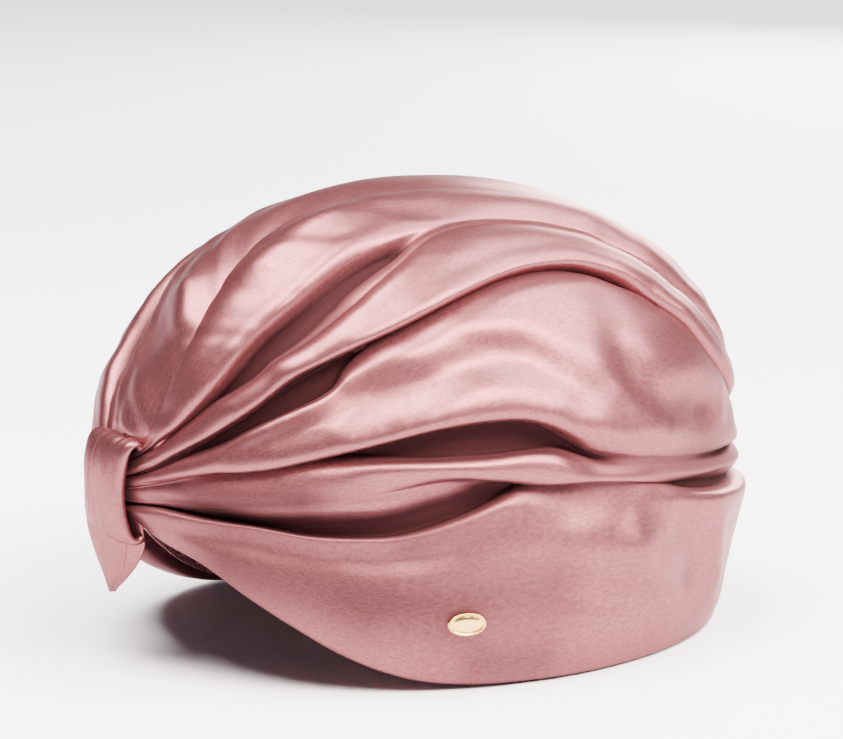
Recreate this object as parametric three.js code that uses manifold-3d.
// A knotted satin turban headband: a draped and gathered satin cover over a blocked, wired and lined cap.
// Millimetres, +Z up. The wearer faces -Y and +X is the wearer's left. The origin is on the surface that the
// turban stands on, under the middle of its box.
import * as THREE from "three";
import { mergeVertices } from "three/addons/utils/BufferGeometryUtils.js";
import Module from "manifold-3d";

const wasm = await Module();
wasm.setup();

// ---- Driving dimensions ----
// The head form that every layer is offset from.
const HALF_WIDTH = 88.5;
const HALF_LENGTH = 109.5;
const BROW_HEIGHT = 57; // the wall stands below this height and the dome starts above it
const CROWN_RISE = 87; // from brow height to the crown
const DOME_POWER = 2.1; // 2 is an ellipsoid, more is squarer
const TUCK = 0.07; // share by which the wall is drawn in at the bottom

// Each layer as [outer, inner] depth below the head form.
const DRAPE = [0, 3.5];
const WADDING = [4.3, 6.0];
const FOUNDATION = [7.0, 7.8];
const LINING = [8.8, 9.4];
const SWEATBAND = [10.5, 11.1];

const PLEAT_RELIEF = [2.2, 3.6, 3.4, 3.2, 2.8]; // how far each pleat stands out, from the side band up
const ROWS_PER_PLEAT = 3;
const DRAPE_STATIONS = 26; // steps from the knot to the back seam
const LAYER_STATIONS = 22;
const LAYER_ROWS = 9;

const INNER_EDGE_LIFT = 4.5; // the inner layers end this far above the satin's edge
const SWEATBAND_LIFT = 1;
const SWEATBAND_TALL = 24;
const SEAM_GAP = 0.15; // half of the gap along a seam

const KNOT = { y: -110, z: 57.5, halfWidth: 14, outY: 8.5, outZ: 17, cloth: 2.2, opensAt: 95 };
const KNOT_CORE = { halfWidth: 7.4, outY: 3.2, outZ: 11 };
// The knot's loose end hangs below the front edge and leans back under it. The outline is seen from the front.
const KNOT_TAIL = { top: 42, y: -107.6, thick: 1.4, leanBack: 17 };
const KNOT_TAIL_OUTLINE = [[13, 0], [13.5, -3], [7, -13], [-2, -20.5], [-8, -24], [-12, -20], [-13.5, -10], [-13, 0]];
const KNOT_STAY = { width: 13, thick: 0.8, tall: 16, depth: 5.2 };
const WADDING_SLOT_FRONT = 15.5; // half width that the wadding leaves free behind the knot
const WADDING_SLOT_BACK = 6.5;

const WIRE = { radius: 0.6, depth: 6.2, lift: 2.2, sides: 6, steps: 72, endGap: 0.4 };
const JOINER = { outer: 1.5, bore: 0.95, length: 12, sides: 12 };
const SEAM_TAPE = { halfWidth: 5, outer: 4.3, inner: 4.9, low: 6, high: 80 };

const PLAQUE = { x: 83, y: -34, z: 23, halfLong: 6, halfTall: 3.6, thick: 1.3, dome: 0.7, standOff: 3.1 };
const POST = { apart: 6.4, radius: 0.6, hole: 1.0, reach: 5.1 };
const BACKPLATE = { long: 10, tall: 5, thick: 0.5, depth: 4.1 };
const BACKPLATE_POCKET = { long: 13, tall: 8, thick: 3, depth: 5 };

const WOVEN_LABEL = { halfWidth: 17, low: 31, high: 50, outer: 10.3, inner: 10.8 };
const CARE_LABEL = { x: 45, hingeZ: 57, width: 20, long: 30, thick: 0.5, offWall: 1.2, lean: 5 };
const TACK = { radius: 0.35, length: 6, depth: 5.8 };

const DEGREE = Math.PI / 180;
const at = (x, y, z) => new THREE.Vector3(x, y, z);

// ---- The head form ----
// The point of the form, taken depth deeper, that lies straight out from the upright middle line through p.
function onForm(p, depth = 0) {
  const across = Math.hypot(p.x / (HALF_WIDTH - depth), p.y / (HALF_LENGTH - depth));
  const above = p.z - BROW_HEIGHT;
  if (above <= 0) {
    const fall = -above / BROW_HEIGHT;
    const scale = (1 - TUCK * fall * fall) / across;
    return at(p.x * scale, p.y * scale, p.z);
  }
  const rise = above / (CROWN_RISE - depth);
  const scale = (across ** DOME_POWER + rise ** DOME_POWER) ** (-1 / DOME_POWER);
  return at(p.x * scale, p.y * scale, BROW_HEIGHT + above * scale);
}

const guide = (points) => new THREE.CatmullRomCurve3(points.map((p) => at(...p)), false, "centripetal");

// ---- Where the folds run, from the knot to the back seam, on the wearer's left ----
const EDGE = [
  [8, -109, 47], [16, -108, 45], [24, -105, 42.5], [36, -99, 38], [48, -91, 30], [60, -79, 20], [69, -65, 11],
  [77, -48, 4], [82, -28, 0], [84, 0, 0], [80, 30, 0], [70, 56, 0], [52, 80, 0], [28, 97, 0], [SEAM_GAP, 103, 0],
];
const SIDE_BAND_TOP = [
  [8, -109, 51], [18, -108, 53.5], [39, -99, 53], [64, -77, 51], [81, -47, 52], [88, -15, 61], [90, 2, 63],
  [88, 22, 60], [83, 44, 57], [74, 62, 55], [51, 91, 50], [25, 106, 48], [SEAM_GAP, 110, 47],
];
const SECOND_FOLD = [
  [8, -109, 55.5], [16, -108, 60], [31, -103, 65], [53, -87, 70], [68, -69, 76], [79, -44, 82], [84, -20, 83],
  [88, 4, 76], [88, 22, 68], [83, 44, 66], [74, 62, 64], [51, 91, 59], [25, 106, 57], [SEAM_GAP, 110, 56],
];
const LONG_FOLD = [
  [8, -109, 59.5], [17, -107, 65.5], [33, -100, 75], [47, -87, 88], [56, -67, 102], [61, -45, 111],
  [61, -22, 120], [57, 10, 126], [55, 34, 123], [56, 54, 111], [58, 72, 93], [44, 92, 79], [22, 105, 70],
  [SEAM_GAP, 110, 66],
];
const UPPER_FOLD = [
  [8, -109, 63.5], [15, -107, 69], [24, -103, 77], [34, -95, 88], [38, -78, 109], [38, -60, 122],
  [38, -28, 135], [38, 0, 139], [37, 34, 133], [36, 62, 120], [38, 82, 101], [30, 98, 87], [15, 107, 80],
  [SEAM_GAP, 110, 76],
];
// The left drape's top edge lies over the right one, so it starts left of the middle at the brow.
const CROWN_PART = [[15, -96, 98], [13, -89, 108], [9, -79, 118], [5, -67, 128], [1.5, -52, 135.5]];
const CROWN_LINE = [[0, -30, 142], [0, 0, 145], [0, 40, 137], [0, 75, 119], [0, 97, 101], [0, 107, 87]];
const TOP_EDGE_LEFT = [[8, -109, 66.5], [15, -107.5, 69], [17, -105, 79], [16, -101, 88]].concat(
  [...CROWN_PART, ...CROWN_LINE].map(([x, y, z]) => [x + SEAM_GAP, y, z]),
);
const TOP_EDGE_RIGHT = [
  [-8, -109, 66.5], [-5, -109.5, 70], [5, -109.5, 71], [12, -107.5, 73], [15.2, -104.5, 79], [15.4, -101, 88],
].concat([...CROWN_PART, ...CROWN_LINE].map(([x, y, z]) => [x - 3 * SEAM_GAP, y, z]));

// The left drape's folds, or the right one's: the same folds turned to the other side.
function drapeGuides(side) {
  const folds = [EDGE, SIDE_BAND_TOP, SECOND_FOLD, LONG_FOLD, UPPER_FOLD];
  const mirrored = folds.map((points) => points.map(([x, y, z]) => [side * x, y, z]));
  return [...mirrored, side > 0 ? TOP_EDGE_LEFT : TOP_EDGE_RIGHT].map(guide);
}

// The inner layers' edge and middle line. frontX and backX are where they start and stop beside the middle.
function layerGuides(side, lift, frontX, backX) {
  const edge = [
    [frontX, -110, 42], [Math.max(frontX, 12) + 2, -108.5, 42], ...EDGE.slice(2, -1), [backX, 103, 0],
  ].map(([x, y, z]) => [side * x, y, z + lift]);
  const middle = [
    [frontX, -110, 66], [frontX, -104, 83], [frontX, -90, 106], [Math.min(frontX, 4), -65, 129],
    [Math.min(frontX, 1), -30, 142], [Math.min(frontX, 1), 0, 145], [Math.min(frontX, 1), 40, 137],
    [Math.min(backX, 3), 75, 119], [backX, 97, 101], [backX, 107, 87],
  ].map(([x, y, z]) => [side * x, y, z]);
  return [edge, middle].map(guide);
}

// ---- Making cloth layers ----
// A flat slab of steps by rows, bent so that its long way follows the guides, its height steps from one
// guide to the next, and its thickness runs from the inner depth to the outer one.
function layer(guides, side, stations, rowsPerGap, [outer, inner], relief = () => 0) {
  const gaps = guides.length - 1;
  const slab = new THREE.BoxGeometry(1, 1, 1, stations, gaps * rowsPerGap, 1);
  const place = slab.getAttribute("position");
  for (let i = 0; i < place.count; i++) {
    const along = side > 0 ? place.getX(i) + 0.5 : 0.5 - place.getX(i);
    const up = Math.min(gaps, Math.max(0, (place.getY(i) + 0.5) * gaps));
    const gap = Math.min(gaps - 1, Math.floor(up + 1e-6));
    const low = guides[gap].getPointAt(along);
    const high = guides[gap + 1].getPointAt(along);
    const rough = low.lerp(high, up - gap);
    rough.z = Math.max(0, rough.z);
    const outside = place.getZ(i) > 0;
    const p = onForm(rough, outside ? outer - relief(gap, up - gap, along) : inner);
    place.setXYZ(i, p.x, p.y, p.z);
  }
  return slab;
}

// Each pleat is a roll that is round across and flattens out into the seams at both ends.
function pleatRelief(pleat, across, along) {
  const round = Math.max(0, Math.sin(Math.PI * across)) ** 0.7;
  const ends = Math.min(1, 6 * along, 8 * (1 - along));
  return PLEAT_RELIEF[pleat] * round * ends;
}

const drape = (side) => layer(drapeGuides(side), side, DRAPE_STATIONS, ROWS_PER_PLEAT, DRAPE, pleatRelief);

// ---- Booleans ----
function solid(geometry) {
  const bare = geometry.clone();
  bare.deleteAttribute("normal");
  bare.deleteAttribute("uv");
  const merged = mergeVertices(bare, 1e-3);
  const vertProperties = merged.getAttribute("position").array;
  return new wasm.Manifold(new wasm.Mesh({ numProp: 3, vertProperties, triVerts: new Uint32Array(merged.index.array) }));
}

function surface(manifold) {
  const mesh = manifold.getMesh();
  const made = new THREE.BufferGeometry();
  made.setAttribute("position", new THREE.BufferAttribute(new Float32Array(mesh.vertProperties), 3));
  made.setIndex(new THREE.BufferAttribute(new Uint32Array(mesh.triVerts), 1));
  made.computeVertexNormals();
  return made;
}

// A layer that goes over the whole head, from the left edge over the crown to the right edge. Its front and
// back seams are butted, SEAM_GAP each side of the middle.
function wholeLayer(depths, lift) {
  const [leftEdge] = layerGuides(1, lift, SEAM_GAP, SEAM_GAP);
  const [rightEdge] = layerGuides(-1, lift, SEAM_GAP, SEAM_GAP);
  const [, middle] = layerGuides(1, lift, 0, 0);
  return layer([leftEdge, middle, rightEdge], 1, LAYER_STATIONS, LAYER_ROWS, depths);
}

// The wired edge all the way round, from the back seam by the right side and the front to the back again.
function edgeRing(lift, endGap) {
  const left = [[14, -108.5, 42], ...EDGE.slice(2, -1), [endGap, 103, 0]];
  const right = left.map(([x, y, z]) => [-x, y, z]).reverse();
  return guide([...right, [0, -110, 42], ...left].map(([x, y, z]) => [x, y, z + lift]));
}

function sweatband() {
  const low = edgeRing(SWEATBAND_LIFT, SEAM_GAP);
  const high = edgeRing(SWEATBAND_LIFT + SWEATBAND_TALL, SEAM_GAP);
  return layer([low, high], 1, 2 * LAYER_STATIONS, 2, SWEATBAND);
}

// ---- Knot ----
function band(outY, outZ, cloth, reachDegrees) {
  const shape = new THREE.Shape();
  const reach = reachDegrees * DEGREE;
  shape.absellipse(KNOT.y, KNOT.z, outY, outZ, Math.PI - reach, Math.PI + reach, false);
  shape.absellipse(KNOT.y, KNOT.z, outY - cloth, outZ - cloth, Math.PI + reach, Math.PI - reach, true);
  return shape;
}

// A shape drawn in the Y-Z plane and drawn out along X, both ways from the middle.
function alongX(shape, halfWidth, curveSegments = 20) {
  const made = new THREE.ExtrudeGeometry(shape, { depth: 2 * halfWidth, bevelEnabled: false, curveSegments });
  const turn = new THREE.Matrix4().set(0, 0, 1, -halfWidth, 1, 0, 0, 0, 0, 1, 0, 0, 0, 0, 0, 1);
  return made.applyMatrix4(turn);
}

function knotTail() {
  const corners = KNOT_TAIL_OUTLINE.map(([x, z]) => new THREE.Vector2(x, z));
  const [first, , ...rest] = corners;
  const shape = new THREE.Shape().moveTo(first.x, first.y);
  shape.splineThru([corners[1], ...rest]);
  shape.closePath();
  const slab = new THREE.ExtrudeGeometry(shape, { depth: KNOT_TAIL.thick, bevelEnabled: false, curveSegments: 4 });
  const stand = new THREE.Matrix4().makeRotationX((90 + KNOT_TAIL.leanBack) * DEGREE);
  return moved(slab.applyMatrix4(stand), 0, KNOT_TAIL.y, KNOT_TAIL.top);
}

function knotCore() {
  const shape = new THREE.Shape();
  shape.absellipse(KNOT.y - 1, KNOT.z, KNOT_CORE.outY, KNOT_CORE.outZ, 0, 2 * Math.PI, false);
  return alongX(shape, KNOT_CORE.halfWidth, 12);
}

// ---- Edge wire and its joiner ----
const wirePoints = edgeRing(WIRE.lift, WIRE.endGap).getSpacedPoints(WIRE.steps);
const wirePath = new THREE.CatmullRomCurve3(wirePoints.map((p) => onForm(p, WIRE.depth)), false, "centripetal");

function edgeWire() {
  const section = new THREE.Shape();
  section.absarc(0, 0, WIRE.radius, 0, 2 * Math.PI, false);
  const options = { steps: WIRE.steps, extrudePath: wirePath, curveSegments: WIRE.sides / 2 };
  return new THREE.ExtrudeGeometry(section, options);
}

function wireJoiner() {
  const ring = new THREE.Shape();
  ring.absarc(0, 0, JOINER.outer, 0, 2 * Math.PI, false);
  const hole = new THREE.Path();
  hole.absarc(0, 0, JOINER.bore, 0, 2 * Math.PI, true);
  ring.holes.push(hole);
  return new THREE.ExtrudeGeometry(ring, { depth: JOINER.length, bevelEnabled: false, curveSegments: JOINER.sides / 2 });
}

// ---- Plaque on the side band ----
// Where the plaque sits, as a frame whose Z points out of the cloth and X runs towards the back.
function plaqueFrame() {
  const seat = onForm(at(PLAQUE.x, PLAQUE.y, PLAQUE.z));
  const back = onForm(at(PLAQUE.x, PLAQUE.y + 2, PLAQUE.z)).sub(seat).normalize();
  const up = onForm(at(PLAQUE.x, PLAQUE.y, PLAQUE.z + 2)).sub(seat);
  const out = back.clone().cross(up).normalize();
  return new THREE.Matrix4().makeBasis(back, out.clone().cross(back), out).setPosition(seat);
}

function moved(geometry, x, y, z) {
  return geometry.translate(x, y, z);
}

// An upright round bar in the plaque's frame, from the lower to the upper level.
function post(x, low, high, radius) {
  const bar = new THREE.CylinderGeometry(radius, radius, high - low, 10).rotateX(Math.PI / 2);
  return moved(bar, x, 0, (low + high) / 2);
}

const bothPosts = (low, high, radius) =>
  [-1, 1].map((end) => solid(post((end * POST.apart) / 2, low, high, radius))).reduce((a, b) => a.add(b));

function plaque() {
  const face = new THREE.EllipseCurve(0, 0, 1, PLAQUE.dome, 0, Math.PI / 2).getPoints(5);
  const profile = [new THREE.Vector2(0, 0), new THREE.Vector2(1, 0)].concat(
    face.map((p) => new THREE.Vector2(p.x, PLAQUE.thick - PLAQUE.dome + p.y)),
  );
  profile[profile.length - 1].x = 0;
  const disc = new THREE.LatheGeometry(profile, 28).rotateX(Math.PI / 2);
  disc.scale(PLAQUE.halfLong, PLAQUE.halfTall, 1).translate(0, 0, PLAQUE.standOff);
  return surface(solid(disc).add(bothPosts(-POST.reach, PLAQUE.standOff + 0.3, POST.radius)));
}

function backplate() {
  const plate = moved(new THREE.BoxGeometry(BACKPLATE.long, BACKPLATE.tall, BACKPLATE.thick), 0, 0, -BACKPLATE.depth);
  return surface(solid(plate).subtract(bothPosts(-6, 0, POST.hole)));
}

// ---- Labels ----
function wovenLabel() {
  const slab = new THREE.BoxGeometry(1, 1, 1, 8, 1, 1);
  const place = slab.getAttribute("position");
  for (let i = 0; i < place.count; i++) {
    const x = 2 * WOVEN_LABEL.halfWidth * place.getX(i);
    const z = place.getZ(i) > 0 ? WOVEN_LABEL.high : WOVEN_LABEL.low;
    const depth = place.getY(i) > 0 ? WOVEN_LABEL.outer : WOVEN_LABEL.inner;
    const y = Math.sqrt(1 - (x / HALF_WIDTH) ** 2) * HALF_LENGTH;
    const p = onForm(at(x, y, z), depth);
    place.setXYZ(i, p.x, p.y, p.z);
  }
  return slab;
}

// The care label hangs from its sewn top edge, just clear of the lining. Its frame's Y points out of the cap.
function careLabelFrame() {
  const wallX = HALF_WIDTH - LINING[1];
  const wallY = HALF_LENGTH - LINING[1];
  const y = wallY * Math.sqrt(1 - (CARE_LABEL.x / wallX) ** 2);
  const out = at(CARE_LABEL.x / wallX ** 2, y / wallY ** 2, 0).normalize();
  const hinge = at(CARE_LABEL.x, y, CARE_LABEL.hingeZ).addScaledVector(out, -CARE_LABEL.offWall);
  const sideways = out.clone().cross(at(0, 0, 1));
  const frame = new THREE.Matrix4().makeBasis(sideways, out, at(0, 0, 1)).setPosition(hinge);
  return frame.multiply(new THREE.Matrix4().makeRotationX(-CARE_LABEL.lean * DEGREE));
}

function careLabel() {
  const slip = new THREE.BoxGeometry(CARE_LABEL.width, CARE_LABEL.thick, CARE_LABEL.long);
  return slip.translate(0, 0, -CARE_LABEL.long / 2).applyMatrix4(careLabelFrame());
}

// ---- Seam tape, stay and thread tacks ----
function seamTape() {
  const slab = new THREE.BoxGeometry(1, 1, 1, 2, 8, 1);
  const place = slab.getAttribute("position");
  for (let i = 0; i < place.count; i++) {
    const z = SEAM_TAPE.low + (place.getY(i) + 0.5) * (SEAM_TAPE.high - SEAM_TAPE.low);
    const depth = place.getZ(i) > 0 ? SEAM_TAPE.outer : SEAM_TAPE.inner;
    const p = onForm(at(-2 * SEAM_TAPE.halfWidth * place.getX(i), HALF_LENGTH, z), depth);
    place.setXYZ(i, p.x, p.y, p.z);
  }
  return slab;
}

function knotStay() {
  const stay = new THREE.BoxGeometry(KNOT_STAY.width, KNOT_STAY.thick, KNOT_STAY.tall);
  return moved(stay, 0, -HALF_LENGTH + KNOT_STAY.depth, KNOT.z);
}

const tack = () => new THREE.CylinderGeometry(TACK.radius, TACK.radius, TACK.length, 8).rotateZ(Math.PI / 2);

// ---- Assembly ----
const turban = new THREE.Group();

function add(name, geometry, material, place) {
  const mesh = new THREE.Mesh(geometry, material);
  mesh.name = name;
  if (place) mesh.applyMatrix4(place);
  turban.add(mesh);
  return mesh;
}

const cloth = (color, roughness) => new THREE.MeshStandardMaterial({ color, roughness, metalness: 0 });
const satin = new THREE.MeshStandardMaterial({ color: 0xb4808a, roughness: 0.35, metalness: 0.3 });
const gold = new THREE.MeshStandardMaterial({ color: 0xe8c48a, roughness: 0.25, metalness: 1 });
const steel = new THREE.MeshStandardMaterial({ color: 0xa8a8aa, roughness: 0.4, metalness: 1 });
const brass = new THREE.MeshStandardMaterial({ color: 0xc2a35c, roughness: 0.35, metalness: 1 });
const wadding = cloth(0xf1ece4, 0.95);
const buckram = cloth(0xe9e2d2, 0.85);
const liningCloth = cloth(0x8d5f68, 0.5);
const petersham = cloth(0x7a4d57, 0.8);
const cottonTape = cloth(0xeee8dd, 0.9);
const thread = cloth(0xa8737d, 0.6);
const label = cloth(0xf3eee8, 0.7);

const seat = plaqueFrame();
const holes = bothPosts(-8, 8, POST.hole).transform(seat.elements);
const pocket = solid(
  moved(
    new THREE.BoxGeometry(BACKPLATE_POCKET.long, BACKPLATE_POCKET.tall, BACKPLATE_POCKET.thick),
    0, 0, -BACKPLATE_POCKET.depth,
  ),
).transform(seat.elements);

add("left_drape", surface(solid(drape(1)).subtract(holes)), satin);
add("right_drape", drape(-1), satin);
add("knot_wrap", alongX(band(KNOT.outY, KNOT.outZ, KNOT.cloth, KNOT.opensAt), KNOT.halfWidth), satin);
add("knot_tail", knotTail(), satin);
add("knot_core", knotCore(), wadding);
add("knot_stay", knotStay(), cottonTape);
add("back_seam_tape", seamTape(), cottonTape);

for (const [name, side] of [["left", 1], ["right", -1]]) {
  const padGuides = layerGuides(side, INNER_EDGE_LIFT, WADDING_SLOT_FRONT, WADDING_SLOT_BACK);
  const pad = layer(padGuides, side, LAYER_STATIONS, LAYER_ROWS, WADDING);
  add(name + "_wadding", side > 0 ? surface(solid(pad).subtract(pocket)) : pad, wadding);
  const liningGuides = layerGuides(side, INNER_EDGE_LIFT + 1, SEAM_GAP, SEAM_GAP);
  add(name + "_lining", layer(liningGuides, side, LAYER_STATIONS, LAYER_ROWS, LINING), liningCloth);
}
add("foundation_cap", wholeLayer(FOUNDATION, INNER_EDGE_LIFT), buckram);
add("sweatband", sweatband(), petersham);

add("edge_wire", edgeWire(), steel);
const joinerSeat = onForm(at(0, 103, WIRE.lift), WIRE.depth);
const alongEdge = new THREE.Matrix4().makeRotationY(Math.PI / 2).setPosition(-JOINER.length / 2, joinerSeat.y, joinerSeat.z);
add("wire_joiner", wireJoiner(), brass, alongEdge);

add("ornament_plaque", plaque(), gold, seat);
add("ornament_backplate", backplate(), brass, seat);
add("woven_label", wovenLabel(), label);
add("care_label", careLabel(), label);

// Bars of thread hold the stay and the seam tape to the foundation.
const stayBack = -HALF_LENGTH + KNOT_STAY.depth + KNOT_STAY.thick / 2 + 1.4 * TACK.radius;
for (const [name, seatPoint] of [
  ["knot_tack_upper", at(0, stayBack, KNOT.z + 6)], ["knot_tack_lower", at(0, stayBack, KNOT.z - 6)],
  ["back_tack_upper", onForm(at(0, HALF_LENGTH, 78), TACK.depth)],
  ["back_tack_lower", onForm(at(0, HALF_LENGTH, 12), TACK.depth)],
]) add(name, tack(), thread, new THREE.Matrix4().setPosition(seatPoint));

// The knot stands out in front, so everything moves back until the box is centred.
turban.position.y = (KNOT.outY - KNOT.y - HALF_LENGTH) / 2;

export default turban;
